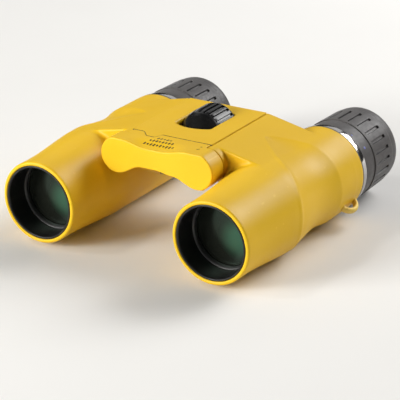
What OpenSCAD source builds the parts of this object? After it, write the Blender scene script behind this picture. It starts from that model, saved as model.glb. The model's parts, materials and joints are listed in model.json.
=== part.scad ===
// Compact folding binoculars: two roof-prism barrels on a double-hinged bridge,
// with a centre focus wheel, a dioptre ring and twist-up eyecups.
// X runs from the left barrel to the right one, Y from the objectives to the
// eyepieces, Z up.  Each piece is drawn with Y = 0 at the objective rims and
// Z = 0 on the optical axes, and in_frame() then moves the origin to the middle
// of the base.  The left half is the mirror of the right one.

/* [Barrels] */
// Half the distance between the optical axes, opened flat
barrel_x = 36.2; // [34:0.1:37]
// Outer radius of the objective rim
rim_r = 15.4; // [15:0.1:16]
// Largest radius of the front tube, beside the hinge
bulge_r = 17.3; // [16.8:0.1:17.3]
// Radius of the finger grip waist
waist_r = 16; // [15.8:0.1:16.4]
// Radius of the collar that carries the eyepiece
collar_r = 16.7; // [16.4:0.1:17]
// Length of the housing, rim to eyepiece collar
housing_l = 79.6; // [79:0.1:80.5]
// Overall length with the eyecups down
overall_l = 109; // [108.5:0.1:110]

/* [Bridge] */
// Distance of each hinge axis from the middle
hinge_x = 17; // [16.8:0.1:17.4]
// Height of the hinge axes above the optical axes
hinge_z = 14.6; // [14.4:0.1:15]
// Radius of the end lobes of the front cover
lobe_r = 6.6; // [6.2:0.1:6.6]
// Radius of the knuckles on the housings
knuckle_r = 6.3; // [6:0.1:6.3]
// Radius of the hinge pins
pin_r = 2.2; // [1.8:0.1:2.4]
// Front face of the front cover
cover_y0 = 22; // [21:0.5:23]
// Rear edge of the front cover's top
cover_y1 = 33; // [32.5:0.1:33]
// Front and rear walls of the housings' webs
web_y0 = 33.5; // [33.5:0.1:34]
web_y1 = 72; // [70:0.5:72]
// Height of the deck's top face
deck_z = 21.3; // [21.2:0.1:21.5]

/* [Focus wheel] */
// Radius of the wheel
wheel_r = 9; // [8.5:0.1:9]
// Height of its axis
wheel_z = 15.7; // [15.5:0.1:15.9]
// Front and rear ends of the wheel
wheel_y0 = 45.6; // [45:0.1:46]
wheel_y1 = 65.4; // [64:0.1:65.5]
// Number of grip ribs
wheel_ribs = 26; // [16:1:32]

/* [Optics] */
// Radius of the objective's clear opening
bore_r = 12.9; // [12.5:0.1:13]
// Middle of the focusing cells' travel
focus_y = 40.2; // [40:0.1:40.4]
// Free travel of the focusing cells each way
focus_travel = 1.9; // [1:0.1:1.9]

/* [Eyecups] */
// Radius of the grip band at its front end
band_r = 16; // [15.8:0.1:16.2]
// Radius of the rear lip
lip_r = 14.9; // [14.5:0.1:15.2]
// How far the eyecup rises
eyecup_travel = 6; // [3:0.5:6]
// Number of grip slots round the band
slots = 24; // [12:1:28]

/* [Hidden] */
$fn = 96;

// fits
run = 0.05;             // radial clearance of a part that turns or slides
seat = 0.02;            // radial clearance of a part that is glued or screwed in
big = 60;               // longer than anything it cuts

// housing
web_r = 16.6;           // barrel radius that the web's panels are tangent to
hinge_d = norm([barrel_x - hinge_x, hinge_z]);
cell_r = 14;            // bore for the objective cell
slide_r = 13.2;         // bore for the focusing cell
prism_r = 13.6;         // bore for the prism mount and the eyepiece
cell_l = 22;
slide_y1 = 48;
nose_y0 = 30.3;         // front end of the housing's knuckle
rim_l = 4.4;            // straight length of the rim, for a slip-on cap

// strap ear, in the plane through the barrel axis that is ear_a below level
ear_a = 32;
ear_y = 72.6;
ear_r = 5.6;
ear_reach = 20.4;
ear_t = 2.6;
ear_hole_r = 1.1;
ear_hole_d = 18.1;

// bridge
cover_y_lobe = 29.9;    // rear face of the front cover's lobes
waist_z = 11.8;         // underside of the front cover between its lobes
waist_blend_r = 8;      // radius that blends the underside into the lobes
recess_r = knuckle_r + 0.12;
deck_t = 2.4;
seam_gap = 0.25;
tongue_y = 29.6;        // front edge of the deck's tongue
frame_z0 = 5.4;
frame_z1 = 18.8;
plate_t = 1.1;
screw_r = 2;            // focus shaft
bush_r = 3.2;
rear_plate_y0 = 72.3;
rear_plate_y1 = 74.5;

// eyepiece
tube_r = 12.4;
tube_y1 = 104;
ocular_r = 9.5;
trim_y1 = 83.6;
ring_y0 = 83.85;
ring_y1 = 90.3;
collar_ring_r = band_r - 0.4;
cup_y0 = 90.6;
sleeve_r = 13.9;
groove_r = 13.2;
band_y1 = 104.9;
slot_y0 = 92;
slot_y1 = 102.3;
slot_a0 = 12.5;         // turn of the first slot from the top

// half a cosine wave from 0 to 1
function ease(t) = (1 - cos(180 * max(0, min(1, t)))) / 2;

// outer radius of the barrel at y
function skin_r(y) =
    y < 34 ? rim_r + (bulge_r - rim_r) * ease((y - rim_l) / (34 - rim_l))
    : y < 52 ? bulge_r + (waist_r - bulge_r) * ease((y - 34) / 18)
    : waist_r + (collar_r - waist_r) * ease((y - 52) / 12);

module in_frame() { translate([0, -overall_l / 2, bulge_r]) children(); }

// a flat XZ outline drawn out from y0 to y1
module along_y(y0, y1) {
    translate([0, y1, 0]) rotate([90, 0, 0]) linear_extrude(y1 - y0) children();
}

// a profile of [radius, y] points turned about the Y axis
module turned(points) { rotate([-90, 0, 0]) rotate_extrude() polygon(points); }

module rod(r, y0, y1) { along_y(y0, y1) circle(r); }

module tube(r_out, r_in, y0, y1) {
    along_y(y0, y1) difference() { circle(r_out); circle(r_in); }
}

module at_barrel() { translate([barrel_x, 0, 0]) children(); }
module at_hinge() { translate([hinge_x, 0, hinge_z]) children(); }
module at_wheel() { translate([0, 0, wheel_z]) children(); }
module both_sides() { children(); mirror([1, 0, 0]) children(); }
module left() { mirror([1, 0, 0]) children(); }

// points along Z towards the hinge axis, from the barrel axis
module towards_hinge() {
    at_barrel() rotate([0, -atan2(barrel_x - hinge_x, hinge_z), 0]) children();
}

// a lens of radius r with its rim from y0 to y1; R0 and R1 are its face radii,
// positive where a face bulges outwards
module lens(r, y0, y1, R0, R1) {
    front_sag = abs(R0) - sqrt(R0 * R0 - r * r);
    rear_sag = abs(R1) - sqrt(R1 * R1 - r * r);
    rotate([-90, 0, 0]) {
        if (R0 > 0)
            intersection() {
                translate([0, 0, y0 - front_sag]) cylinder(h = y1 - y0 + front_sag + rear_sag, r = r);
                translate([0, 0, y0 - front_sag + R0]) sphere(R0);
                translate([0, 0, y1 + rear_sag - R1]) sphere(R1);
            }
        else
            difference() {
                translate([0, 0, y0]) cylinder(h = y1 - y0, r = r);
                translate([0, 0, y0 + front_sag + R0]) sphere(-R0);
                translate([0, 0, y1 - rear_sag - R1]) sphere(-R1);
            }
    }
}

// ---- bridge -----------------------------------------------------------

// front outline of a link with round ends over the two hinge axes
module link_outline(end_r, top, under) {
    overlap = 0.06;     // the blends cross the ends by this much, for a clean corner
    span = end_r + waist_blend_r - overlap;
    drop = hinge_z - (under - waist_blend_r);
    reach = sqrt(span * span - drop * drop);
    blend_x = hinge_x - reach;
    past = (end_r + overlap) / span;
    past_x = hinge_x - reach * past;
    past_z = hinge_z - drop * past;
    difference() {
        union() {
            for (s = [-1, 1]) translate([s * hinge_x, hinge_z]) circle(end_r);
            polygon([
                [-hinge_x, top], [hinge_x, top], [hinge_x, hinge_z], [past_x, past_z],
                [-past_x, past_z], [-hinge_x, hinge_z]
            ]);
        }
        for (s = [-1, 1]) translate([s * blend_x, under - waist_blend_r]) circle(waist_blend_r);
        translate([-blend_x, under - big]) square([2 * blend_x, big]);
    }
}

// the flat top between the hinges, hollowed for the knuckles
module top_outline(top, t) {
    difference() {
        translate([-hinge_x, top - t]) square([2 * hinge_x, t]);
        for (s = [-1, 1]) translate([s * hinge_x, hinge_z]) circle(recess_r);
    }
}

// tongue of the deck that reaches into the front cover, grown by gap
module deck_tongue(gap) {
    translate([0, 0, deck_z - deck_t - gap]) linear_extrude(deck_t + 2 * gap) polygon([
        [-12.6 - gap, cover_y1 + 1], [-9.4 - gap, tongue_y + 0.4 - gap],
        [-5.4 + gap, tongue_y - gap], [-4 + gap, cover_y1 + 1]
    ]);
}

module front_bridge_cover() {
    top = hinge_z + lobe_r;
    color("gold") difference() {
        union() {
            along_y(cover_y0, cover_y_lobe) link_outline(lobe_r, top, waist_z);
            along_y(cover_y_lobe, cover_y1) top_outline(top, 2.3);
        }
        both_sides() at_hinge() rod(pin_r + seat, cover_y0 + 2, cover_y1);
        deck_tongue(seam_gap);
    }
}

module window() {
    half_w = 7.4;
    side_y0 = 46.8;
    side_y1 = 63.6;
    bow = 2.2;
    bow_r = (half_w * half_w + bow * bow) / (2 * bow);
    translate([0, 0, frame_z1 - 1]) linear_extrude(big) {
        translate([-half_w, side_y0]) square([2 * half_w, side_y1 - side_y0]);
        intersection() {
            translate([-half_w, side_y0 - bow]) square([2 * half_w, side_y1 - side_y0 + 2 * bow]);
            translate([0, side_y0 - bow + bow_r]) circle(bow_r);
            translate([0, side_y1 + bow - bow_r]) circle(bow_r);
        }
    }
}

// radius of the wheel's turned shape, grown by gap
module wheel_shape(gap) {
    taper_l = 3.9;
    front_r = 6.8;
    rear_l = 1.6;
    turned([
        [0, wheel_y0 - gap], [front_r + gap, wheel_y0 - gap],
        [wheel_r + gap, wheel_y0 + taper_l], [wheel_r + gap, wheel_y1 - rear_l],
        [wheel_r - rear_l + gap, wheel_y1 + gap], [0, wheel_y1 + gap]
    ]);
}

module bridge_deck() {
    color("gold") difference() {
        union() {
            along_y(cover_y1 + seam_gap, web_y1) top_outline(deck_z, deck_t);
            deck_tongue(0);
        }
        window();
        at_wheel() wheel_shape(0.4);
    }
}

module frame_upright(y0, y1, low) {
    along_y(y0, y1) polygon([
        [-6.6, low], [6.6, low], [8, 10], [8, frame_z1], [-8, frame_z1], [-8, 10]
    ]);
}

module bridge_frame() {
    color("silver") difference() {
        union() {
            frame_upright(30, 35.4, 8.2);
            frame_upright(67, web_y1 + 0.2, frame_z0);
            translate([-6.6, 34.9, frame_z0]) cube([13.2, 32.1, plate_t]);
            translate([-6.6, 34.4, frame_z0]) cube([13.2, 1, 4]);
        }
        at_wheel() rod(bush_r + seat, 31, 36);
        at_wheel() rod(bush_r + seat, 66, 71);
        for (x = [-5, 5]) translate([x, 0, 13]) rod(1, 68, 74);
        cover_screw_places() cylinder(h = 4.2, r = 0.8, center = true);
    }
}

module cover_screw_places() {
    for (x = [-4, 4], y = [47, 69.5]) translate([x, y, frame_z0]) children();
}

module bottom_cover() {
    color("goldenrod") difference() {
        translate([-6.2, 37.5, frame_z0 - 1.2]) cube([12.4, 34.4, 1.15]);
        cover_screw_places() cylinder(h = 4, r = 0.85, center = true);
    }
}

module bottom_cover_screws() {
    color("dimgray") cover_screw_places() {
        translate([0, 0, -1.9]) cylinder(h = 0.65, r = 1.4);
        translate([0, 0, -1.3]) cylinder(h = 3.2, r = 0.75);
    }
}

module rear_link_plate() {
    color("dimgray") difference() {
        along_y(rear_plate_y0, rear_plate_y1) {
            for (s = [-1, 1]) translate([s * hinge_x, hinge_z]) circle(5.6);
            translate([-hinge_x, hinge_z - 4.8]) square([2 * hinge_x, 9.6]);
        }
        both_sides() at_hinge() rod(pin_r + seat, 70, 76);
        at_wheel() rod(screw_r + 0.4, 70, 76);
        for (x = [-5, 5]) translate([x, 0, 13]) rod(1.05, 70, 76);
    }
}

module rear_link_screws() {
    color("silver") for (x = [-5, 5]) translate([x, 0, 13]) {
        rod(0.95, 68.2, rear_plate_y1 + 0.2);
        rod(1.8, rear_plate_y1 + 0.02, rear_plate_y1 + 0.8);
    }
}

module hinge_pin() { color("silver") at_hinge() rod(pin_r, cover_y0 + 2.2, rear_plate_y1); }

module hinge_washers() {
    color("gray") both_sides() at_hinge() tube(5.8, pin_r + run, cover_y_lobe + 0.05, nose_y0 - 0.05);
}

// ---- focusing ---------------------------------------------------------

module focus_bushes() {
    color("peru") at_wheel() {
        tube(bush_r, screw_r + run, 31.2, 35.4);
        tube(bush_r, screw_r + run, 67, 70.8);
    }
}

module focus_wheel() {
    rib_d = 0.7;
    color("black") at_wheel() difference() {
        wheel_shape(0);
        rod(screw_r + seat, wheel_y0 - 1, wheel_y1 + 1);
        for (i = [0:wheel_ribs - 1])
            rotate([0, i * 360 / wheel_ribs, 0])
                translate([-0.45, wheel_y0 + 4.4, wheel_r - rib_d]) cube([0.9, 13.4, 2]);
    }
}

module focus_screw() { color("silver") at_wheel() rod(screw_r, 31.4, 70.6); }

module focus_carriage() {
    half_l = 2.3;
    tine_t = 1.2;
    tine_x = 13.6;
    color("slategray") difference() {
        union() {
            translate([-6, focus_y - half_l, frame_z0 + plate_t + 0.1]) cube([12, 2 * half_l, 11.8]);
            for (s = [-1, 1])
                translate([-tine_x, focus_y + s * (half_l - tine_t / 2) - tine_t / 2, hinge_z - 1.7])
                    cube([2 * tine_x, tine_t, 3.4]);
        }
        at_wheel() rod(screw_r + run, focus_y - 5, focus_y + 5);
    }
}

// ring that slides in the barrel, with an arm to a disc on the hinge axis
module focus_cell() {
    disc_t = 2 * (2.3 - 1.2 - 0.06);
    color("dimgray") difference() {
        union() {
            at_barrel() tube(slide_r - run, 10.6, focus_y - 3.5, focus_y + 3.5);
            towards_hinge() translate([-1.5, focus_y - disc_t / 2, 12]) cube([3, disc_t, hinge_d - 15]);
            at_hinge() rod(5, focus_y - disc_t / 2, focus_y + disc_t / 2);
        }
        at_hinge() rod(pin_r + 0.12, focus_y - 3, focus_y + 3);
    }
}

module focus_lens() {
    color([0.6, 0.8, 0.9, 0.5]) at_barrel() lens(10.6 - seat, focus_y - 2.6, focus_y + 2.6, -40, -40);
}

// ---- halves (drawn on the right) --------------------------------------

module barrel_skin() {
    step = 2;
    rows = [for (y = [rim_l:step:housing_l - 0.5]) [skin_r(y), y]];
    at_barrel() turned(concat(
        [[0, 0], [rim_r - 0.6, 0], [rim_r - 0.2, 0.2], [rim_r, 0.6]], rows,
        [[collar_r, housing_l - 0.4], [collar_r - 0.4, housing_l], [0, housing_l]]
    ));
}

// barrel and knuckle circles joined by their two outer tangents
module web_outline() {
    lean = atan2(hinge_z, barrel_x - hinge_x);
    open_a = acos((knuckle_r - web_r) / hinge_d);
    up = open_a - lean;
    down = -open_a - lean;
    function on(c, r, a) = c + r * [cos(a), sin(a)];
    barrel = [barrel_x, 0];
    hinge = [hinge_x, hinge_z];
    translate(barrel) circle(web_r);
    translate(hinge) circle(knuckle_r);
    polygon([
        on(hinge, knuckle_r, up), on(barrel, web_r, up), barrel,
        on(barrel, web_r, down), on(hinge, knuckle_r, down)
    ]);
}

module at_ear(d) {
    at_barrel() rotate([0, ear_a, 0]) translate([d, ear_y, 0]) children();
}

// room for the focusing disc inside the knuckle, open towards the bridge
module focus_pocket() {
    half_l = 2.3 + focus_travel + 0.2;
    window_a0 = 158;
    window_a1 = 247;
    at_hinge() {
        rod(5.4, focus_y - half_l, focus_y + half_l);
        along_y(focus_y - half_l, focus_y + half_l)
            polygon([[0, 0], for (a = [window_a0, (window_a0 + window_a1) / 2, window_a1]) 9 * [cos(a), sin(a)]]);
    }
    towards_hinge() translate([-1.8, focus_y - 1.3 - focus_travel, 10])
        cube([3.6, 2.6 + 2 * focus_travel, hinge_d - 12]);
}

module housing() {
    color("gold") difference() {
        union() {
            barrel_skin();
            along_y(web_y0, web_y1) web_outline();
            at_hinge() rod(knuckle_r, nose_y0, web_y0 + 1);
        }
        at_barrel() rod(cell_r, -1, cell_l);
        at_barrel() rod(slide_r, cell_l - 1, slide_y1 + 1);
        at_barrel() rod(prism_r, slide_y1, housing_l + 1);
        at_hinge() rod(pin_r + run, nose_y0 - 1, web_y1 + 1);
        focus_pocket();
    }
}

module strap_ear() {
    color("khaki") difference() {
        at_ear(ear_reach - ear_r) cylinder(h = ear_t, r = ear_r, center = true);
        at_barrel() rod(collar_r + seat, ear_y - big / 2, ear_y + big / 2);
        at_ear(ear_hole_d) cylinder(h = 2 * ear_t, r = ear_hole_r, center = true);
    }
}

module objective_cell() {
    r = cell_r - seat;
    color("black") at_barrel() turned([
        [r, 0.6], [13.6, 0.15], [13.2, 0.15], [bore_r, 0.6], [bore_r, 17.3],
        [11.8, 17.3], [11.8, cell_l - 0.1], [r, cell_l - 0.1]
    ]);
}

module objective_lens() {
    color([0.35, 0.6, 0.5, 0.6]) at_barrel() lens(bore_r - seat, 11.2, 17.2, 60, 80);
}

module retaining_ring() {
    r = bore_r - seat;
    color("dimgray") at_barrel() turned([[r, 9], [12.5, 9], [11.8, 10.2], [11.8, 10.9], [r, 10.9]]);
}

module prism_mount() {
    color("dimgray") at_barrel() difference() {
        rod(prism_r - seat, slide_y1 + 0.1, 72.4);
        translate([-7.7, 50, -7.9]) cube([15.4, 20.2, 17.8]);
        rod(7, 47, 74);
    }
}

// side outline in Y and Z drawn out across the barrel
module prism(points, w) {
    at_barrel() translate([-w / 2, 0, 0]) rotate([90, 0, 90]) linear_extrude(w) polygon(points);
}

module half_prism() {
    color([0.7, 0.85, 0.9, 0.5])
        prism([[50.2, -7.6], [50.2, 7.6], [52.2, 9.6], [67.4, -5.6], [62.6, -7.6]], 15);
}

module roof_prism() {
    color([0.7, 0.85, 0.9, 0.5])
        prism([[52.9, 9.5], [68.1, -5.7], [70, -5.7], [70, 7.6], [68.1, 9.5]], 15);
}

module eyepiece_tube(dioptre = false) {
    r = prism_r - seat;
    shoulder_y = 102.6;
    color("black") at_barrel() difference() {
        turned([
            [8.5, 72.6], [r, 72.6], [r, housing_l - 0.05], [tube_r, housing_l - 0.05],
            [tube_r, tube_y1], [8.6, tube_y1], [8.6, shoulder_y], [ocular_r, shoulder_y],
            [ocular_r, 75], [8.5, 75]
        ]);
        // keyway of the guide ring
        translate([-1.1, 91.5, 11.4]) cube([2.2, 9.6, 3]);
        // slot of the dioptre cell's pin
        if (dioptre) translate([-0.9, 85, 8]) cube([1.8, 4.4, 6]);
    }
}

module trim_ring() {
    r = 16.5;
    color("silver") at_barrel() turned([
        [tube_r + seat, housing_l + 0.1], [r - 0.3, housing_l + 0.1], [r, housing_l + 0.4],
        [r - 0.15, trim_y1 - 0.4], [r - 0.5, trim_y1], [tube_r + seat, trim_y1]
    ]);
}

module eyepiece_collar(inner, groove = 0) {
    color([0.2, 0.19, 0.18]) at_barrel() difference() {
        turned([
            [inner, ring_y0], [collar_ring_r - 0.4, ring_y0], [collar_ring_r, ring_y0 + 0.4],
            [collar_ring_r, ring_y1], [inner, ring_y1]
        ]);
        if (groove > 0) rod(groove, ring_y0 + 1.2, ring_y1 - 1);
    }
}

module dioptre_cell() {
    color("dimgray") at_barrel() {
        tube(ocular_r - run, 8.4, 83.6, 90.6);
        translate([0, 87.2, 8.9]) cylinder(h = 4.3, r = 0.8);
    }
}

module field_lens(r) { color([0.6, 0.8, 0.9, 0.5]) at_barrel() lens(r, 85.4, 88.8, 34, 60); }

module eye_lens() {
    color([0.5, 0.7, 0.85, 0.6]) at_barrel() lens(ocular_r - seat, 97.4, 101.4, 30, 60);
}

module guide_ring() {
    color("silver") at_barrel() {
        tube(groove_r - run, tube_r + run, 92.05, 93.95);
        translate([-1, 92.05, 11.6]) cube([2, 1.9, 1.1]);
    }
}

module eyecup_sleeve() {
    inner = tube_r + 0.1;
    color([0.15, 0.15, 0.15]) at_barrel() turned([
        [inner, cup_y0], [sleeve_r, cup_y0], [sleeve_r, 106], [9.8, 106], [9.8, 104.5], [inner, 104.5],
        [inner, 94], [groove_r, 94], [groove_r, 92], [inner, 92]
    ]);
}

module eyecup() {
    r_in = sleeve_r + seat;
    slot_w = 1.3;
    slot_d = 0.75;
    color([0.22, 0.21, 0.2]) at_barrel() difference() {
        turned([
            [r_in, cup_y0], [band_r - 0.1, cup_y0], [band_r - 0.4, band_y1], [lip_r + 0.3, band_y1 + 0.3],
            [lip_r - 0.1, 107.4], [lip_r - 0.6, 108.5], [lip_r - 1.6, overall_l], [12.4, overall_l],
            [10.9, 107.4], [10.4, 106.05], [r_in, 106.05]
        ]);
        for (i = [0:slots - 1])
            rotate([0, slot_a0 + i * 360 / slots, 0])
                translate([-slot_w / 2, slot_y0, band_r - 0.3 - slot_d]) cube([slot_w, slot_y1 - slot_y0, 2]);
    }
}

// ---- the nodes --------------------------------------------------------

in_frame() {
    front_bridge_cover();
    bridge_deck();
    bridge_frame();
    bottom_cover();
    bottom_cover_screws();
    rear_link_plate();
    rear_link_screws();
    left() hinge_pin();  // left_hinge_pin
    hinge_pin();  // right_hinge_pin
    hinge_washers();
    focus_bushes();
    focus_wheel();
    focus_screw();
    focus_carriage();

    left() housing();  // left_housing
    left() strap_ear();  // left_strap_ear
    left() objective_cell();  // left_objective_cell
    left() objective_lens();  // left_objective_lens
    left() retaining_ring();  // left_retaining_ring
    left() prism_mount();  // left_prism_mount
    left() half_prism();  // left_half_prism
    left() roof_prism();  // left_roof_prism
    left() eyepiece_tube();  // left_eyepiece_tube
    left() trim_ring();  // left_trim_ring
    left() eyepiece_collar(tube_r + seat);  // left_eyepiece_collar
    left() field_lens(ocular_r - seat);  // left_field_lens
    left() eye_lens();  // left_eye_lens
    left() focus_cell();  // left_focus_cell
    left() focus_lens();  // left_focus_lens
    left() guide_ring();  // left_guide_ring
    left() eyecup_sleeve();  // left_eyecup_sleeve
    left() eyecup();  // left_eyecup

    housing();  // right_housing
    strap_ear();  // right_strap_ear
    objective_cell();  // right_objective_cell
    objective_lens();  // right_objective_lens
    retaining_ring();  // right_retaining_ring
    prism_mount();  // right_prism_mount
    half_prism();  // right_half_prism
    roof_prism();  // right_roof_prism
    eyepiece_tube(dioptre = true);  // right_eyepiece_tube
    trim_ring();  // right_trim_ring
    eyepiece_collar(tube_r + run, 13.5);  // right_dioptre_ring
    dioptre_cell();  // right_dioptre_cell
    field_lens(8.4 - seat);  // right_field_lens
    eye_lens();  // right_eye_lens
    focus_cell();  // right_focus_cell
    focus_lens();  // right_focus_lens
    guide_ring();  // right_guide_ring
    eyecup_sleeve();  // right_eyecup_sleeve
    eyecup();  // right_eyecup
}
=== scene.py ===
"""Looks of the compact folding binoculars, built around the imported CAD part.

Shapes are worked out in millimetres in the part's own directions: X from the left
barrel to the right one, Y from the objective rims to the eyepieces, Z up, with Y = 0
at the rims and Z = 0 on the optical axes.  place() moves them into the frame.  The
moulded shells are distance functions meshed by surface nets, and the turned parts
are profiles swept round a barrel's or the wheel's axis.
"""

import json
import math

import bmesh
import bpy
import numpy as np
from mathutils import Matrix, Vector


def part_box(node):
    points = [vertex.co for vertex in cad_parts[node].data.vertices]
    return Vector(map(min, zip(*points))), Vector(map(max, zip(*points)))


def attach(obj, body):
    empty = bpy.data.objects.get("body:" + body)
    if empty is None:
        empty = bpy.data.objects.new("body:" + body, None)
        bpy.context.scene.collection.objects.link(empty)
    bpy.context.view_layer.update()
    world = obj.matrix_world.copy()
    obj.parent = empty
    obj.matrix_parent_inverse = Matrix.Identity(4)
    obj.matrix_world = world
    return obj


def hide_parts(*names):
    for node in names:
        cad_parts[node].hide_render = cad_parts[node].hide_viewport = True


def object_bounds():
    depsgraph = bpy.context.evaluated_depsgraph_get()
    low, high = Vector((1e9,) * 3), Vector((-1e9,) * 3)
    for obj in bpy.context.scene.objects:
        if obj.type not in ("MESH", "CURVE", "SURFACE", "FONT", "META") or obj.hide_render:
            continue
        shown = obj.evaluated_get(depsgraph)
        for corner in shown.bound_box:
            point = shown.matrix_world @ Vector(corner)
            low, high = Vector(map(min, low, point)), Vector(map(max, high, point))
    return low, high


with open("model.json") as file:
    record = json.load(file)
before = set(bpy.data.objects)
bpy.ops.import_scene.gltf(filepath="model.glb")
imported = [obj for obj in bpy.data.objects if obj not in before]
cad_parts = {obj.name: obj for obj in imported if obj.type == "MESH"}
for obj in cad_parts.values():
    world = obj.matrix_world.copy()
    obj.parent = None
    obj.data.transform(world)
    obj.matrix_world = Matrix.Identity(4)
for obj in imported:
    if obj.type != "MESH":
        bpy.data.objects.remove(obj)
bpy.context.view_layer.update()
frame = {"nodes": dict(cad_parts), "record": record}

MM = 0.001


def box_mm(node):
    """Lowest and highest corner of a CAD node in the frame, in millimetres."""
    lowest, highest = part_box(node)
    return np.array(lowest) / MM, np.array(highest) / MM


CELL_LOW, CELL_HIGH = box_mm("right_objective_cell")
BARREL_X = (CELL_LOW[0] + CELL_HIGH[0]) / 2
ORIGIN = np.array([0, box_mm("right_housing")[0][1], (CELL_LOW[2] + CELL_HIGH[2]) / 2])


def low(node):
    """Lowest corner of a CAD node, in working millimetres."""
    return box_mm(node)[0] - ORIGIN


def high(node):
    """Highest corner of a CAD node, in working millimetres."""
    return box_mm(node)[1] - ORIGIN


def middle(node):
    return (low(node) + high(node)) / 2


# ---- housings: millimetres, and degrees from +X towards +Z on the right barrel ----

HOUSING_L = high("right_housing")[1]
RIM_R = 15.4
RIM_L = 4.4
BULGE_R = 17.4
BULGE_TOP_R = 16.85         # on top, where the front tube runs into the panel
BULGE_Y = 33
COLLAR_R = 16.7
BORE_R = 14
BORE_STEP_Y = 22.3          # behind it the bore is narrower
HINGE_X, _, HINGE_Z = middle("right_hinge_pin")
PIN_R = (high("right_hinge_pin") - low("right_hinge_pin"))[0] / 2
WEB_R = 16.6
WEB_Y0 = 33.5
WEB_Y1 = 72
WEB_LEAN = 1.6              # how far the front wall falls back under the hinge, per mm
KNUCKLE_R = 6.3
KNUCKLE_Y0 = 30.4
SCOOP_A = -3                # middle of the finger rest
SCOOP_SPAN = 121            # from there to each of its noses
SCOOP_Y0 = 32.5
SCOOP_Y1 = 63
NOSE_Y = 54.5
SCOOP_D = 1.35
RIDGE_H = 0.2               # a soft ridge along the front of the finger rest
RIDGE_W = 1.1
PIN_GAP = 0.05
EAR_A = 32                  # the strap ear's plane, below level
EAR_D = 14.8                # middle of its rounded end, from the barrel axis
EAR_R = 5.6
EAR_T = 2.6
EAR_Y = middle("right_strap_ear")[1]
HOUSING_STEP = 0.45         # edge length of the meshes
EAR_STEP = 0.3

# ---- bridge and wheel --------------------------------------------------------------

COVER_Y0 = low("front_bridge_cover")[1]
COVER_Y1 = high("front_bridge_cover")[1]
LOBE_R = 6.6
LOBE_Y1 = 29.8
COVER_Z = HINGE_Z + LOBE_R
ARCH_Z = 11.8               # underside of the cover in the middle
ARCH_SAG = 0.9              # how much lower it is towards the right lobe
DIP = 1.7                   # how far the cover's front edge dips in the middle
SLAB_T = 2.3
SEAM_GAP = 0.26
TONGUE_L = 3.4              # the deck's tongue, which reaches into the cover
DECK_Y1 = high("bridge_deck")[1]
WINDOW_W = 7.4
WINDOW_Y0 = 46.8
WINDOW_Y1 = 63.6
WINDOW_BOW = 2.2
BRIDGE_STEP = 0.22          # edge length of the meshes
WHEEL_Z = middle("focus_screw")[2]
WHEEL_Y0 = low("focus_wheel")[1]
WHEEL_Y1 = high("focus_wheel")[1]
WHEEL_R = (high("focus_wheel") - low("focus_wheel"))[0] / 2
RIBS = 26
RIB_D = 0.75
PLATE_Y0 = low("rear_link_plate")[1]
PLATE_Y1 = high("rear_link_plate")[1]
PLATE_R = 4.7
SHAFT_HOLE_R = 2.4

# ---- eyepieces -----------------------------------------------------------------------

CHROME_CUT = 0.8             # how far the collar reaches over the back of the chrome ring
RING_Y1 = high("right_trim_ring")[1] - CHROME_CUT
RING_R = 16.5
SHADE_LINE_Y0 = HOUSING_L - 0.35   # painted shade: a black ring for the dark joint before the chrome
SHADE_LINE_Y1 = HOUSING_L + 0.35
SHADE_LINE_R = COLLAR_R - 0.05
COLLAR_Y0 = low("right_dioptre_ring")[1] - CHROME_CUT
COLLAR_RING_R = (high("right_dioptre_ring") - low("right_dioptre_ring"))[0] / 2
TUBE_R = 12.5                # inner edge of what sits on the eyepiece tube
CUP_Y0 = low("right_eyecup")[1]
CUP_Y1 = high("right_eyecup")[1]
CUP_BORE_R = 13.92
CUP_LEDGE_Y = 106.05         # front of the cup's soft lip
BAND_R = 15.9
BAND_Y1 = 104.9
SLOTS = 24
SLOT_A0 = 2.5
SLOT_Y0 = 92
SLOT_Y1 = 102.3
SLOT_W = 1.35
SLOT_D = 0.7
LENS_Y = low("right_objective_lens")[1]
LENS_R = 12.88
CELL_R = BORE_R - 0.03
CELL_Y1 = 21.8
CELL_LEDGE_Y = 17.3          # the ledge behind the objective
CELL_BORE_R = 12.9
CELL_REAR_R = 11.8
RETAINER_Y0 = 9
RETAINER_Y1 = 10.8


# ---- mesh tools ----------------------------------------------------------------------


def clip01(t):
    return np.clip(t, 0, 1)


def ease(t):
    """Half a cosine wave from 0 to 1."""
    return (1 - np.cos(np.pi * clip01(t))) / 2


def soft_min(a, b, k):
    """The lower of a and b, blended over k."""
    h = clip01(0.5 + 0.5 * (b - a) / k)
    return b + (a - b) * h - k * h * (1 - h)


def soft_max(a, b, k):
    """The higher of a and b, blended over k."""
    return -soft_min(-a, -b, k)


def wrapped(angle):
    """The angle from -180 to 180."""
    return (angle + 180) % 360 - 180


def place(points):
    """Working millimetres to the frame's metres."""
    return (np.asarray(points, float).reshape(-1, 3) + ORIGIN) * MM


def add_piece(name, points, faces, material, mirrored=False):
    """A smooth mesh object, mirrored onto the left half if asked."""
    points = np.asarray(points, float).reshape(-1, 3)
    faces = np.asarray(faces, int)
    if mirrored:
        points = points * [-1, 1, 1]
        faces = faces[:, ::-1]
    mesh = bpy.data.meshes.new(name)
    mesh.from_pydata(place(points).tolist(), [], faces.tolist())
    mesh.materials.append(material)
    mesh.shade_smooth()
    piece = bpy.data.objects.new(name, mesh)
    bpy.context.scene.collection.objects.link(piece)
    return piece


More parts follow.
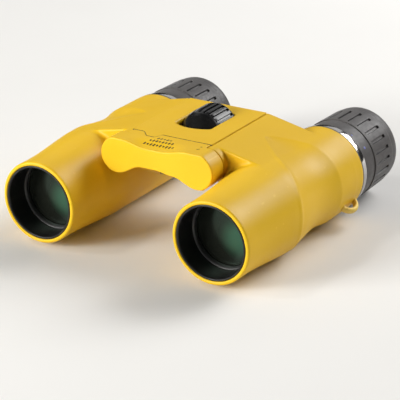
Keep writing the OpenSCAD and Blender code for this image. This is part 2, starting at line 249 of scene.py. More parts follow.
def surface_net(field, low_corner, high_corner, step):
    """Vertices and quads on the zero level of a distance function."""
    axes = [np.arange(a, b + step, step) for a, b in zip(low_corner, high_corner)]
    value = field(*np.meshgrid(*axes, indexing="ij"))
    cells = tuple(n - 1 for n in value.shape)
    count = np.zeros(cells)
    total = np.zeros((3,) + cells)
    crossings = []
    for a in range(3):
        b, c = [i for i in range(3) if i != a]
        v0 = value[tuple(slice(0, -1) if i == a else slice(None) for i in range(3))]
        v1 = value[tuple(slice(1, None) if i == a else slice(None) for i in range(3))]
        cross = (v0 < 0) != (v1 < 0)
        share = np.where(cross, v0 / np.where(cross, v0 - v1, 1), 0)
        crossings.append((a, b, c, cross, v0))
        for p in (0, 1):
            for q in (0, 1):
                part = [slice(None)] * 3
                part[b] = slice(p, p + cells[b])
                part[c] = slice(q, q + cells[c])
                hit = cross[tuple(part)]
                count += hit
                total[a] += share[tuple(part)] * hit
                total[b] += p * hit
                total[c] += q * hit
    used = count > 0
    number = np.full(cells, -1)
    number[used] = np.arange(used.sum())
    within_cell = (total[:, used] / count[used]).T
    points = np.array(low_corner) + step * (np.argwhere(used) + within_cell)
    quads = []
    for a, b, c, cross, v0 in crossings:
        at = np.argwhere(cross)
        inner = (at[:, b] > 0) & (at[:, c] > 0)
        inner &= (at[:, b] < value.shape[b] - 1) & (at[:, c] < value.shape[c] - 1)
        at = at[inner]
        ring = []
        for p, q in ((1, 1), (0, 1), (0, 0), (1, 0)):
            cell = at.copy()
            cell[:, b] -= p
            cell[:, c] -= q
            ring.append(number[tuple(cell.T)])
        quad = np.stack(ring, 1)
        turn = (v0[tuple(at.T)] < 0) == (a == 1)
        quad[turn] = quad[turn][:, ::-1]
        quads.append(quad)
    quads = np.concatenate(quads)
    for _ in range(3):
        points = settled(evened(points, quads), field, step)
    return points, quads


def evened(points, quads):
    """Each vertex moved halfway to the middle of its neighbours."""
    ahead = np.roll(quads, -1, axis=1)
    ends = np.concatenate([quads, ahead]).ravel()
    others = np.concatenate([ahead, quads]).ravel()
    amount = np.bincount(ends, minlength=len(points))
    sums = [np.bincount(ends, weights=points[others, i], minlength=len(points)) for i in range(3)]
    return (points + np.stack(sums, 1) / amount[:, None]) / 2


def settled(points, field, step):
    """Vertices moved along the slope onto the surface."""
    h = step / 8
    flattest = 0.05
    for _ in range(2):
        slope = np.stack([
            (field(*(points + h * axis).T) - field(*(points - h * axis).T)) / (2 * h)
            for axis in np.eye(3)
        ], 1)
        size = np.maximum((slope ** 2).sum(1), flattest)
        move = (field(*points.T) / size)[:, None] * slope
        points = points - np.clip(move, -step / 2, step / 2)
    return points


def rounded(corners, steps=5):
    """A profile of (radius, y, rounding) corners as [radius, y] points."""
    points = []
    for i, (r, y, rounding) in enumerate(corners):
        here = np.array([r, y], float)
        if rounding == 0 or i in (0, len(corners) - 1):
            points.append(here)
            continue
        before = np.array(corners[i - 1][:2]) - here
        after = np.array(corners[i + 1][:2]) - here
        reach0 = min(rounding / np.linalg.norm(before), 0.48)
        reach1 = min(rounding / np.linalg.norm(after), 0.48)
        start, end = here + before * reach0, here + after * reach1
        for t in np.linspace(0, 1, steps):
            points.append((1 - t) ** 2 * start + 2 * t * (1 - t) * here + t ** 2 * end)
    return np.array(points)


def resampled(profile, longest):
    """The profile with no stretch longer than longest."""
    points = [profile[0]]
    for p, q in zip(profile[:-1], profile[1:]):
        parts = max(1, math.ceil(np.linalg.norm(q - p) / longest))
        points += [p + (q - p) * i / parts for i in range(1, parts + 1)]
    return np.array(points)


def turned(name, profile, columns, material, mirrored=False, relief=None, axis=(BARREL_X, 0)):
    """A profile of [radius, y] points swept round an axis along Y.  relief(angle, y, r) is
    added to the radius."""
    angle = np.linspace(0, 360, columns, endpoint=False)[:, None]
    r, y = profile[:, 0][None, :], profile[:, 1][None, :]
    radius = r + (relief(angle, y, r) if relief else 0)
    turn = np.radians(angle)
    points = np.stack(np.broadcast_arrays(
        axis[0] + radius * np.cos(turn), y, axis[1] + radius * np.sin(turn)), -1)
    sunk = np.broadcast_to(r - radius, points.shape[:2])
    rows = len(profile)
    i, k = np.meshgrid(np.arange(columns), np.arange(rows - 1), indexing="ij")
    j = (i + 1) % columns
    faces = np.stack([i * rows + k, i * rows + k + 1, j * rows + k + 1, j * rows + k], -1)
    piece = add_piece(name, points, faces.reshape(-1, 4), material, mirrored)
    sunk_layer = piece.data.attributes.new("sunk", "FLOAT", "POINT")
    sunk_layer.data.foreach_set("value", np.ascontiguousarray(sunk).ravel() / max(sunk.max(), 0.001))
    work = bmesh.new()
    work.from_mesh(piece.data)
    bmesh.ops.remove_doubles(work, verts=work.verts, dist=0.001 * MM)
    bmesh.ops.recalc_face_normals(work, faces=work.faces)
    work.to_mesh(piece.data)
    work.free()
    piece.data.set_sharp_from_angle(angle=math.radians(50))
    return piece


def moulded(name, field, low_corner, high_corner, step, material):
    """A mesh object on the zero level of a distance function."""
    points, quads = surface_net(field, low_corner, high_corner, step)
    return add_piece(name, points, quads, material)


def fit(piece, body, slot, *nodes):
    """The piece rides on body and stands for the CAD nodes, which it hides; slot is not used."""
    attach(piece, body)
    if nodes:
        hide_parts(*nodes)
    return piece


# ---- materials -----------------------------------------------------------------------


class Paint:
    """A Principled material, and the nodes that vary it over the surface."""

    def __init__(self, name, roughness, metallic=0.0, specular=0.5):
        self.material = bpy.data.materials.new(name)
        self.material.use_nodes = True
        self.tree = self.material.node_tree
        self.shader = self.tree.nodes["Principled BSDF"]
        self.shader.inputs["Roughness"].default_value = roughness
        self.shader.inputs["Metallic"].default_value = metallic
        self.shader.inputs["Specular IOR Level"].default_value = specular
        self.coords = self.node("ShaderNodeTexCoord").outputs["Object"]

    def node(self, kind, **values):
        made = self.tree.nodes.new(kind)
        for key, value in values.items():
            setattr(made, key, value)
        return made

    def link(self, out, into):
        self.tree.links.new(out, into)

    def noise(self, size_mm, detail, stretch=(1, 1, 1)):
        """Noise from 0 to 1 with grains of about size_mm, longer along an axis stretched below 1."""
        mapping = self.node("ShaderNodeMapping")
        mapping.inputs["Scale"].default_value = stretch
        self.link(self.coords, mapping.inputs["Vector"])
        made = self.node("ShaderNodeTexNoise")
        made.inputs["Scale"].default_value = 1 / (size_mm * MM)
        made.inputs["Detail"].default_value = detail
        self.link(mapping.outputs["Vector"], made.inputs["Vector"])
        return made.outputs["Fac"]

    def spread(self, value, low_in, high_in, low_out, high_out):
        made = self.node("ShaderNodeMapRange")
        for name, number in (("From Min", low_in), ("From Max", high_in),
                             ("To Min", low_out), ("To Max", high_out)):
            made.inputs[name].default_value = number
        self.link(value, made.inputs["Value"])
        return made.outputs["Result"]

    def mix(self, factor, a, b):
        """A colour from a to b; each is a colour or an output."""
        made = self.node("ShaderNodeMix", data_type="RGBA")
        self.link(factor, made.inputs["Factor"])
        for value, socket in ((a, made.inputs[6]), (b, made.inputs[7])):
            if isinstance(value, tuple):
                socket.default_value = value + (1,)
            else:
                self.link(value, socket)
        return made.outputs[2]

    def colour(self, out):
        self.link(out, self.shader.inputs["Base Color"])

    def roughness(self, value, low_out, high_out):
        self.link(self.spread(value, 0.3, 0.7, low_out, high_out), self.shader.inputs["Roughness"])

    def bump(self, *layers):
        """Bumps of (height output, depth in mm), one over the other."""
        normal = None
        for height, depth_mm in layers:
            made = self.node("ShaderNodeBump")
            made.inputs["Strength"].default_value = 1
            made.inputs["Distance"].default_value = depth_mm * MM
            self.link(height, made.inputs["Height"])
            if normal is not None:
                self.link(normal, made.inputs["Normal"])
            normal = made.outputs["Normal"]
        self.link(normal, self.shader.inputs["Normal"])

    def edges(self, low_in, high_in):
        """1 on outward edges and 0 on flat faces."""
        point = self.node("ShaderNodeNewGeometry").outputs["Pointiness"]
        return self.spread(point, low_in, high_in, 0, 1)


def yellow_paint(name, dark, light):
    """Satin paint: cloudy colour, fine orange peel, edges rubbed lighter."""
    paint = Paint(name, 0.42, specular=0.22)
    cloud = paint.noise(22, 3)
    speck = paint.noise(0.35, 2)
    base = paint.mix(paint.spread(cloud, 0.3, 0.7, 0, 1), dark, light)
    pale = (light[0] * 1.08, light[1] * 1.14, light[2] + 0.03)
    flecked = paint.mix(paint.spread(speck, 0.35, 0.75, 0, 0.25), base, pale)
    worn = paint.mix(paint.spread(paint.edges(0.57, 0.66), 0, 1, 0, 0.8), flecked, pale)
    paint.colour(worn)
    paint.roughness(paint.noise(9, 3), 0.38, 0.46)
    paint.bump((paint.noise(0.22, 2), 0.004), (paint.noise(2.2, 2), 0.008))
    return paint.material


def grip_rubber():
    """Moulded rubber: warm black with a fine matt grain, painted shade on the walls of its slots and
    painted light on their floors.
    """
    paint = Paint("grip_rubber", 0.55, specular=0.4)
    paint.shader.inputs["Sheen Weight"].default_value = 0.12
    paint.shader.inputs["Sheen Roughness"].default_value = 0.5
    dust = paint.noise(5, 4)
    base = paint.mix(paint.spread(dust, 0.3, 0.7, 0, 1), (0.036, 0.031, 0.030), (0.056, 0.049, 0.047))
    worn = paint.mix(paint.spread(paint.edges(0.52, 0.62), 0, 1, 0, 0.6), base, (0.15, 0.14, 0.135))
    sunk = paint.node("ShaderNodeAttribute", attribute_name="sunk").outputs["Fac"]
    # painted shade: the slot walls darkened, as if in their own shadow
    slot_walls_painted_shade = paint.mix(paint.spread(sunk, 0.1, 0.4, 0, 0.85), worn, (0.008, 0.007, 0.007))
    # painted light: the slot floors lighter, as if lit
    paint.colour(paint.mix(paint.spread(sunk, 0.9, 0.99, 0, 1), slot_walls_painted_shade, (0.085, 0.078, 0.075)))
    paint.roughness(paint.noise(1.5, 3), 0.42, 0.58)
    paint.bump((paint.noise(0.16, 2), 0.01), (paint.noise(0.7, 2), 0.008))
    return paint.material


def turned_metal(name, dark, light, rough_low, rough_high, metallic=1.0):
    """Turned metal, with fine rings round the axis."""
    paint = Paint(name, rough_low, metallic)
    rings = paint.noise(0.12, 2, stretch=(0.002, 1, 0.002))
    cloud = paint.noise(3, 3)
    paint.colour(paint.mix(paint.spread(cloud, 0.3, 0.7, 0, 1), dark, light))
    paint.roughness(rings, rough_low, rough_high)
    paint.bump((rings, 0.00008))
    return paint.material


def satin_black(name, base, light, rough_low, rough_high, grain_mm, depth_mm, specular=0.5):
    """Black plastic or anodised metal, with a fine grain and lighter edges."""
    paint = Paint(name, rough_low, specular=specular)
    cloud = paint.noise(4, 3)
    mixed = paint.mix(paint.spread(cloud, 0.3, 0.7, 0, 1), base, light)
    rub = tuple(min(1, 3 * c + 0.02) for c in light)
    paint.colour(paint.mix(paint.spread(paint.edges(0.53, 0.63), 0, 1, 0, 0.5), mixed, rub))
    paint.roughness(paint.noise(1.2, 3), rough_low, rough_high)
    paint.bump((paint.noise(grain_mm, 2), depth_mm))
    return paint.material


def coated_glass(axis_x):
    """A lens over a black bore: dark glass, with a painted green highlight to one side, where the lamps
    land on the lens.
    """
    paint = Paint("coated_glass", 0.06, specular=0.35)
    paint.shader.inputs["Specular Tint"].default_value = (0.65, 1.0, 0.75, 1)
    # painted highlight: green in the base colour, strongest at a point off the axis and fading out
    # within glow_r
    glow_x, glow_z, glow_r = 6.0, -1.0, 10
    painted_glow_at = place((axis_x + glow_x, LENS_Y, glow_z))[0]
    away = paint.node("ShaderNodeVectorMath", operation="DISTANCE")
    away.inputs[1].default_value = painted_glow_at
    paint.link(paint.coords, away.inputs[0])
    painted_glow = paint.spread(away.outputs["Value"], 1.0 * MM, glow_r * MM, 1, 0)
    painted_glow.node.interpolation_type = "SMOOTHERSTEP"
    cloud = paint.noise(7, 2)
    dark = paint.mix(cloud, (0.008, 0.009, 0.007), (0.011, 0.012, 0.009))
    paint.colour(paint.mix(painted_glow, dark, (0.036, 0.092, 0.056)))
    paint.roughness(paint.noise(2.5, 4), 0.17, 0.22)
    return paint.material


def clear_glass():
    """The lenses and prisms inside."""
    paint = Paint("clear_glass", 0.03)
    paint.shader.inputs["Transmission Weight"].default_value = 1.0
    paint.shader.inputs["IOR"].default_value = 1.52
    cloud = paint.noise(6, 2)
    paint.colour(paint.mix(cloud, (0.80, 0.90, 0.88), (0.90, 0.96, 0.95)))
    paint.roughness(paint.noise(3, 3), 0.02, 0.05)
    return paint.material


def pale_floor():
    """Matt paper, faintly cloudy."""
    paint = Paint("pale_floor", 0.85, specular=0.15)
    paint.colour(paint.mix(paint.noise(60, 3), (0.83, 0.815, 0.79), (0.86, 0.845, 0.82)))
    return paint.material


yellow = yellow_paint("yellow_paint", (0.76, 0.455, 0.010), (0.81, 0.495, 0.014))
# painted light: a lighter copy of the yellow for the strap ear, whose face is turned to the lamps
ear_painted_light_yellow = yellow_paint("ear_painted_light_yellow", (0.86, 0.60, 0.12), (0.90, 0.66, 0.17))
rubber = grip_rubber()
chrome = turned_metal("chrome", (0.44, 0.43, 0.42), (0.54, 0.53, 0.52), 0.10, 0.13)
steel = turned_metal("steel", (0.42, 0.42, 0.43), (0.55, 0.55, 0.56), 0.25, 0.4)
bronze = turned_metal("bronze", (0.45, 0.28, 0.12), (0.55, 0.36, 0.17), 0.35, 0.5)
alloy = satin_black("alloy", (0.018, 0.018, 0.018), (0.03, 0.03, 0.03), 0.45, 0.6, 0.4, 0.01)
black_metal = satin_black(
    "black_metal", (0.006, 0.006, 0.006), (0.011, 0.010, 0.009), 0.30, 0.42, 0.2, 0.002, 0.4)
retainer_metal = satin_black(
    "retainer_metal", (0.024, 0.024, 0.023), (0.037, 0.036, 0.035), 0.3, 0.4, 0.2, 0.002)
black_plastic = satin_black(
    "black_plastic", (0.012, 0.012, 0.012), (0.022, 0.021, 0.021), 0.42, 0.55, 0.3, 0.006)
wheel_black = satin_black(
    "wheel_black", (0.006, 0.006, 0.006), (0.012, 0.012, 0.012), 0.2, 0.28, 0.3, 0.002, 0.3)
# ink for the printed marks, and painted shade for the seam strip
ink_and_seam_shade = satin_black("ink_and_seam_shade", (0.012, 0.009, 0.004), (0.02, 0.014, 0.006), 0.5, 0.6, 0.3, 0.001)
index_paint = satin_black("index_paint", (0.045, 0.05, 0.20), (0.07, 0.08, 0.26), 0.4, 0.55, 0.3, 0.002)
lens_glass = {"left": coated_glass(-BARREL_X), "right": coated_glass(BARREL_X)}
glass = clear_glass()

SLOT_MATERIALS = {
    "yellow_plastic": yellow, "black_metal": black_metal, "black_plastic": black_plastic,
    "wheel_plastic": wheel_black, "grip_rubber": rubber, "chrome_trim": chrome,
    "coated_glass": lens_glass["right"], "optical_glass": glass, "alloy": alloy,
    "screw_steel": steel, "bronze": bronze,
}
for row in frame["record"]["subparts"]:
    node = frame["nodes"][row["node"]]
    node.data.materials.clear()
    node.data.materials.append(SLOT_MATERIALS[row["material_slot"]])


# ---- housings ------------------------------------------------------------------------


def scoop_depth(y, angle):
    """Depth of the leaf-shaped finger rest pressed into the outside of the barrel."""
    off = np.minimum(np.abs(wrapped(angle - SCOOP_A)) / SCOOP_SPAN, 1)
    nose = 1 - np.sqrt(1 - off ** 6)            # rounds the leaf's two tips
    front_sweep = 0.86 * off ** 1.75 + 0.14 * nose
    back_sweep = 0.5 * off ** 5 + 0.5 * nose
    front = SCOOP_Y0 + (NOSE_Y - SCOOP_Y0) * front_sweep
    back = SCOOP_Y1 - (SCOOP_Y1 - NOSE_Y) * back_sweep
    length = np.maximum(back - front, 0.01)
    t = clip01((y - front) / length)
    t = t - 0.35 * t * (1 - t)                  # deepest behind the middle
    share = clip01((back - front) / (SCOOP_Y1 - SCOOP_Y0)) ** 0.7
    ridge = RIDGE_H * np.exp(-((y - front) / RIDGE_W) ** 2)
    return share * (SCOOP_D * np.sin(np.pi * t) - ridge)


def tube_radius(y, angle):
    """Outer radius of the barrel, before the finger rest."""
    top_a, top_blend = 55, 28                   # where the top begins, and over how far
    top = ease((np.abs(wrapped(angle - SCOOP_A)) - top_a) / top_blend)
    bulge = BULGE_R + (BULGE_TOP_R - BULGE_R) * top
    wave = 0.8                                  # the swell still rises where it meets the bulge
    swell = ease(wave * clip01((y - RIM_L) / (BULGE_Y - RIM_L))) / ease(wave)
    front = RIM_R + (bulge - RIM_R) * swell
    return front + (COLLAR_R - bulge) * ease((y - BULGE_Y) / (SCOOP_Y1 - BULGE_Y))


def web_outline(u, z):
    """Distance from the hull of the barrel's and the knuckle's circles."""
    span = math.hypot(HINGE_X - BARREL_X, HINGE_Z)
    to_x, to_z = (HINGE_X - BARREL_X) / span, HINGE_Z / span
    along = u * to_x + z * to_z
    across = np.abs(u * to_z - z * to_x)
    taper = (WEB_R - KNUCKLE_R) / span
    rise = math.sqrt(1 - taper ** 2)
    at = along * rise - across * taper
    side = across * rise + along * taper - WEB_R
    ends = np.where(at < 0, np.hypot(along, across) - WEB_R, np.hypot(across, along - span) - KNUCKLE_R)
    return np.where((at < 0) | (at > rise * span), ends, side)


def focus_pocket(hinge_r, hinge_a, y):
    """Room inside the knuckle for the focusing arm, open towards the bridge."""
    focus_y = middle("focus_carriage")[1]
    half_l = 4.4
    round_r, wedge_r = 5.4, 9
    wedge_a, wedge_half_a = 202.5, 44.5
    past_side = np.radians(np.abs(wrapped(hinge_a - wedge_a)) - wedge_half_a) * hinge_r
    wedge = np.maximum(hinge_r - wedge_r, past_side)
    return np.maximum(np.minimum(hinge_r - round_r, wedge), np.abs(y - focus_y) - half_l)


def housing_field(x, y, z):
    """The right barrel's housing, with its web and its knuckle round the hinge pin."""
    u = x - BARREL_X
    r = np.hypot(u, z)
    angle = np.degrees(np.arctan2(z, u))
    hinge_r = np.hypot(x - HINGE_X, z - HINGE_Z)
    hinge_a = np.degrees(np.arctan2(z - HINGE_Z, x - HINGE_X))
    outline = web_outline(u, z)
    retreat = WEB_LEAN * np.maximum(HINGE_Z - KNUCKLE_R - z, 0)
    past_wall = np.maximum(WEB_Y0 + retreat - y, y - WEB_Y1)
    past_wall = np.where(retreat > 0, past_wall / math.hypot(1, WEB_LEAN), past_wall)
    web = soft_max(outline, past_wall, 0.6)
    fillet = 0.05 + 1.5 * clip01(past_wall - outline)     # wide at the front wall, sharp beside it
    body = soft_min(r - tube_radius(y, angle), web, fillet) + scoop_depth(y, angle)
    knuckle_ends = np.maximum(KNUCKLE_Y0 - y, y - WEB_Y0 - 2)
    body = soft_min(body, soft_max(hinge_r - KNUCKLE_R, knuckle_ends, 0.3), 0.2)
    body = soft_max(body, -y, 0.9)
    body = soft_max(body, y - HOUSING_L, 0.5)
    bore = np.where(y < BORE_STEP_Y, BORE_R, BORE_R - 0.4) - r
    body = soft_max(body, bore, 0.3)
    body = np.maximum(body, PIN_R + PIN_GAP - hinge_r)
    return np.maximum(body, -focus_pocket(hinge_r, hinge_a, y))


def ear_field(x, y, z):
    """A loop standing on the barrel, in a plane through its axis."""
    u = x - BARREL_X
    a = math.radians(EAR_A)
    out = u * math.cos(a) - z * math.sin(a)
    off = u * math.sin(a) + z * math.cos(a)
    v = y - EAR_Y
    loop = soft_max(np.hypot(out - EAR_D, v) - EAR_R, np.abs(off) - EAR_T / 2, 1.3)
    hole_r, hole_l, hole_d = 3.5, 3.9, 15.2
    hole = (np.hypot((out - hole_d) / hole_r, v / hole_l) - 1) * hole_r
    body = soft_max(loop, -hole, 0.9)
    return np.maximum(body, COLLAR_R - 0.15 - np.hypot(u, z))


housing_points, housing_quads = surface_net(
    housing_field,
    (HINGE_X - KNUCKLE_R - 1, -1, -COLLAR_R - 1.5),
    (BARREL_X + BULGE_R + 1, HOUSING_L + 1, HINGE_Z + KNUCKLE_R + 1),
    HOUSING_STEP,
)
ear_points, ear_quads = surface_net(
    ear_field,
    (BARREL_X + 8, EAR_Y - EAR_R - 1, -16),
    (BARREL_X + 21, EAR_Y + EAR_R + 1, -2),
    EAR_STEP,
)

# ---- the bridge ----------------------------------------------------------------------


def cover_top(x, y):
    """Height of the cover's top, which dips towards its front edge."""
    dip_x, flat_w, side_w, length = -1, 3, 11, 7
    dip = DIP * (1 - ease((np.abs(x - dip_x) - flat_w) / side_w))
    return COVER_Z - dip * (1 - ease((y - COVER_Y0) / length))


def seam(x):
    """Y of the joint between cover and deck: straight, with the deck's tongue at the left."""
    left_side = ease((x + 12.6) / 4.6)
    right_side = 1 - ease((x + 5.6) / 1.8)
    return COVER_Y1 - TONGUE_L * left_side * right_side


def knuckle_clearance(x, z):
    """Above 0 in the room that the knuckles turn in."""
    return KNUCKLE_R + 0.12 - np.hypot(np.abs(x) - HINGE_X, z - HINGE_Z)


def cover_field(x, y, z):
    """The front cover: lobes over the hinge axes, a bar between them and a thin slab behind."""
    side = np.abs(x)
    lobe_blend = 5.0
    top = z - cover_top(x, y)
    lobes = np.hypot(side - HINGE_X, z - HINGE_Z) - LOBE_R
    arch_z = ARCH_Z - ARCH_SAG * ease((x + 0.5) / 7)
    bar = np.maximum(arch_z - z, side - HINGE_X)
    block = soft_max(soft_min(lobes, bar, lobe_blend), top, 0.7)
    block = soft_max(soft_max(block, COVER_Y0 - y, 0.6), y - LOBE_Y1, 0.25)
    slab = np.maximum(np.maximum(COVER_Z - SLAB_T - z, side - HINGE_X), knuckle_clearance(x, z))
    slab = soft_max(soft_max(slab, top, 0.3), LOBE_Y1 - 2 - y, 0.1)
    return soft_max(np.minimum(block, slab), y - seam(x), 0.1)


def deck_field(x, y, z):
    """The deck behind the cover, with the wheel's window."""
    side = np.abs(x)
    slab = soft_max(soft_max(side - HINGE_X, z - COVER_Z, 0.5), y - DECK_Y1, 0.5)
    slab = np.maximum(np.maximum(slab, knuckle_clearance(x, z)), COVER_Z - SLAB_T - z)
    slab = soft_max(slab, seam(x) + SEAM_GAP - y, 0.08)
    bow = WINDOW_BOW * (1 - (x / WINDOW_W) ** 2)
    ends = np.maximum(WINDOW_Y0 - bow - y, y - WINDOW_Y1 - bow)
    window = soft_max(side - WINDOW_W, ends, 0.8)
    return soft_max(slab, -window, 1.1)


def plate_field(x, y, z):
    """The plate over the rear ends of the hinge pins, open for the pins and the shaft."""
    side = np.abs(x)
    outline = np.hypot(np.maximum(side - HINGE_X, 0), z - HINGE_Z) - PLATE_R
    pin_gap = 0.04
    pin_hole = PIN_R + pin_gap - np.hypot(side - HINGE_X, z - HINGE_Z)
    shaft_hole = SHAFT_HOLE_R - np.hypot(x, z - WHEEL_Z)
    outline = np.maximum(outline, np.maximum(pin_hole, shaft_hole))
    return soft_max(soft_max(outline, PLATE_Y0 - y, 0.3), y - PLATE_Y1, 0.5)


for name, field, low_corner, high_corner, material, slot, node in (
    ("front_cover", cover_field, (-25, COVER_Y0 - 1, 6.5), (25, COVER_Y1 + 2, COVER_Z + 1),
     yellow, "yellow_plastic", "front_bridge_cover"),
    ("deck", deck_field, (-18.5, LOBE_Y1 - 2, COVER_Z - 4), (18.5, DECK_Y1 + 1, COVER_Z + 1),
     yellow, "yellow_plastic", "bridge_deck"),
    ("rear_plate", plate_field, (-23, PLATE_Y0 - 1, 9), (23, PLATE_Y1 + 1, 20),
     black_metal, "black_metal", "rear_link_plate"),
):
    piece = moulded(name, field, low_corner, high_corner, BRIDGE_STEP, material)
    fit(piece, "bridge", slot, node)


def seam_shade_strip():
    """A dark strip in the joint between cover and deck, just under their tops: painted shade for the
    joint.
    """
    points, faces = [], []
    xs = np.linspace(-HINGE_X + 0.2, HINGE_X - 0.2, 240)
    inset, depth = 0.03, 1.5
    across = (-inset, SEAM_GAP + inset)
    for i, x in enumerate(xs):
        y = float(seam(x))
        for dy, dz in ((across[0], -depth), (across[0], 0), (across[1], 0), (across[1], -depth)):
            points.append((x, y + dy, COVER_Z - inset + dz))
        if i:
            faces += [(4 * i - 4 + k, 4 * i + k, 4 * i + k + 1, 4 * i - 3 + k) for k in range(3)]
    return add_piece("seam_shade_strip", points, faces, ink_and_seam_shade)


fit(seam_shade_strip(), "bridge", "black_plastic")


def dash(x, y, length, width, lean):
    """Corners of a printed dash on the cover, as a strip that follows its top."""
    along = np.array([math.cos(lean), math.sin(lean)])
    across = np.array([-along[1], along[0]])
    lift = 0.03
    points = []
    for t in np.linspace(-0.5, 0.5, 4):
        for s in (-0.5, 0.5):
            px, py = np.array([x, y]) + along * t * length + across * s * width
            points.append((px, py, float(cover_top(px, py)) + lift))
    return points


def cover_marks():
    """Three rows of plain dashes, and two dots by the right lobe."""
    rows = [(29.2, -3.2, 2.8), (27.1, -5.2, 5.0), (25.0, -6.4, 6.2)]
    pitch, drift = 1.3, 0.03
    width, lean = 0.6, 1.25
    points, faces = [], []
    dashes = []
    for number, (y, x0, x1) in enumerate(rows):
        for i in range(int((x1 - x0) / pitch) + 1):
            long = (i * 7 + number * 3) % 5 < 3
            dashes.append((x0 + i * pitch, y + drift * i, 1.2 if long else 0.8, width, lean))
    dashes += [(14.8, 27.0, 1.1, 0.4, 0.6), (14.7, 29.4, 0.7, 0.4, 0.6)]
    for spec in dashes:
        base = len(points)
        points += dash(*spec)
        faces += [(base + 2 * k, base + 2 * k + 2, base + 2 * k + 3, base + 2 * k + 1) for k in range(3)]
    return add_piece("cover_marks", points, faces, ink_and_seam_shade)


fit(cover_marks(), "bridge", "black_plastic")

# ---- the focus wheel -----------------------------------------------------------------


def rib_relief(angle, y, r):
    """Grooves between the wheel's ribs, along its straight stretch."""
    pitch = 360 / RIBS
    arc = np.radians(np.abs((angle + pitch / 2) % pitch - pitch / 2)) * WHEEL_R
    groove = 1 - ease((arc - 0.4) / 0.14)
    starts = ease((y - WHEEL_Y0 - 5.4) / 0.8)
    ends = 1 - ease((y - WHEEL_Y1 + 2.4) / 0.6)
    return -RIB_D * groove * (starts * ends) * (r > WHEEL_R - 0.4)


shaft_r, front_r, cone_l, rear_l = 2.1, 4.4, 6.4, 1.6
wheel_profile = resampled(rounded([
    (shaft_r, WHEEL_Y0, 0), (front_r, WHEEL_Y0, 0.4), (WHEEL_R, WHEEL_Y0 + cone_l, 4.0),
    (WHEEL_R, WHEEL_Y1 - rear_l, 0.8), (WHEEL_R - rear_l, WHEEL_Y1, 0.8), (shaft_r, WHEEL_Y1, 0),
]), 0.35)
wheel = turned(
    "focus_wheel_grip", wheel_profile, RIBS * 24, wheel_black, relief=rib_relief, axis=(0, WHEEL_Z))
fit(wheel, "focus_wheel", "wheel_plastic", "focus_wheel")

# ---- what each barrel carries --------------------------------------------------------


def slot_relief(angle, y, r):
    """Axial slots with round ends, pressed into the grip band."""
    pitch = 360 / SLOTS
    arc = np.radians(np.abs((angle - SLOT_A0 + pitch / 2) % pitch - pitch / 2)) * r
    half_l = (SLOT_Y1 - SLOT_Y0 - SLOT_W) / 2
    along = np.maximum(np.abs(y - (SLOT_Y0 + SLOT_Y1) / 2) - half_l, 0)
    inside = SLOT_W / 2 - np.hypot(arc, along)
    return -SLOT_D * ease(inside / 0.2) * (r > BAND_R - 1)


cell_profile = rounded([
    (CELL_R, CELL_Y1, 0), (CELL_R, 0.5, 0.1), (13.75, 0.12, 0.15), (13.25, 0.12, 0.15),
    (CELL_BORE_R, 0.7, 0.2), (CELL_BORE_R, CELL_LEDGE_Y, 0), (CELL_REAR_R, CELL_LEDGE_Y, 0.1),
    (CELL_REAR_R, CELL_Y1, 0), (CELL_R, CELL_Y1, 0),
])
retainer_profile = rounded([
    (LENS_R, RETAINER_Y0, 0), (12.7, RETAINER_Y0, 0.1), (12.2, RETAINER_Y0 + 0.5, 0.15),
    (12.1, RETAINER_Y1, 0.1), (LENS_R, RETAINER_Y1, 0),
])
trim_profile = rounded([
    (TUBE_R, SHADE_LINE_Y1, 0), (RING_R, SHADE_LINE_Y1, 0.2), (RING_R - 0.1, RING_Y1, 0.3),
    (TUBE_R, RING_Y1, 0), (TUBE_R, SHADE_LINE_Y1, 0),
])
shade_line_profile = rounded([
    (TUBE_R, SHADE_LINE_Y0, 0), (SHADE_LINE_R, SHADE_LINE_Y0, 0), (SHADE_LINE_R, SHADE_LINE_Y1, 0),
    (TUBE_R, SHADE_LINE_Y1, 0), (TUBE_R, SHADE_LINE_Y0, 0),
])
collar_y1 = CUP_Y0 - 0.03
collar_profile = rounded([
    (TUBE_R, COLLAR_Y0, 0), (COLLAR_RING_R, COLLAR_Y0, 0.2), (COLLAR_RING_R, collar_y1, 0.05),
    (TUBE_R, collar_y1, 0), (TUBE_R, COLLAR_Y0, 0),
])
cup_profile = resampled(rounded([
    (CUP_BORE_R, CUP_Y0, 0), (BAND_R, CUP_Y0, 0.3), (BAND_R - 0.3, BAND_Y1, 0.2),
    (15.35, BAND_Y1 + 0.35, 0.2), (15.3, CUP_Y1 - 1.2, 1.2), (14.8, CUP_Y1 + 0.6, 1.1),
    (13.0, CUP_Y1 + 0.8, 0.8), (10.9, 107.6, 1.2), (10.4, CUP_LEDGE_Y, 0.2),
    (CUP_BORE_R, CUP_LEDGE_Y, 0), (CUP_BORE_R, CUP_Y0, 0),
]), 0.3)


def lens_profile():
    """The front of the objective: a shallow cap, then its rim."""
    curve_r = 60
    edge_r = LENS_R - 0.02
    radii = np.linspace(0, edge_r, 24)
    cap = [[r, LENS_Y + curve_r - math.sqrt(curve_r ** 2 - r ** 2)] for r in radii]
    edge_y1, back_y = 17.2, 18.4
    return np.array(cap + [[edge_r, edge_y1], [0, back_y]])


def index_dot(name, angle, y, dot_r):
    """A small painted dot on the dioptre ring, domed a little."""
    points, faces = [], []
    turns = 20
    rings = ((0.0, 0.08), (0.6, 0.07), (1.0, 0.0))     # share of dot_r, and height
    for ring, lift in rings:
        for i in range(turns):
            a = 2 * math.pi * i / turns
            across, along = ring * dot_r * math.cos(a), ring * dot_r * math.sin(a)
            r = COLLAR_RING_R + lift
            turn = math.radians(angle) + across / COLLAR_RING_R
            points.append((BARREL_X + r * math.cos(turn), y + along, r * math.sin(turn)))
    for ring in range(len(rings) - 1):
        for i in range(turns):
            j = (i + 1) % turns
            a, b = ring * turns, (ring + 1) * turns
            faces.append((a + i, a + j, b + j, b + i))
    return add_piece(name, points, faces, index_paint)


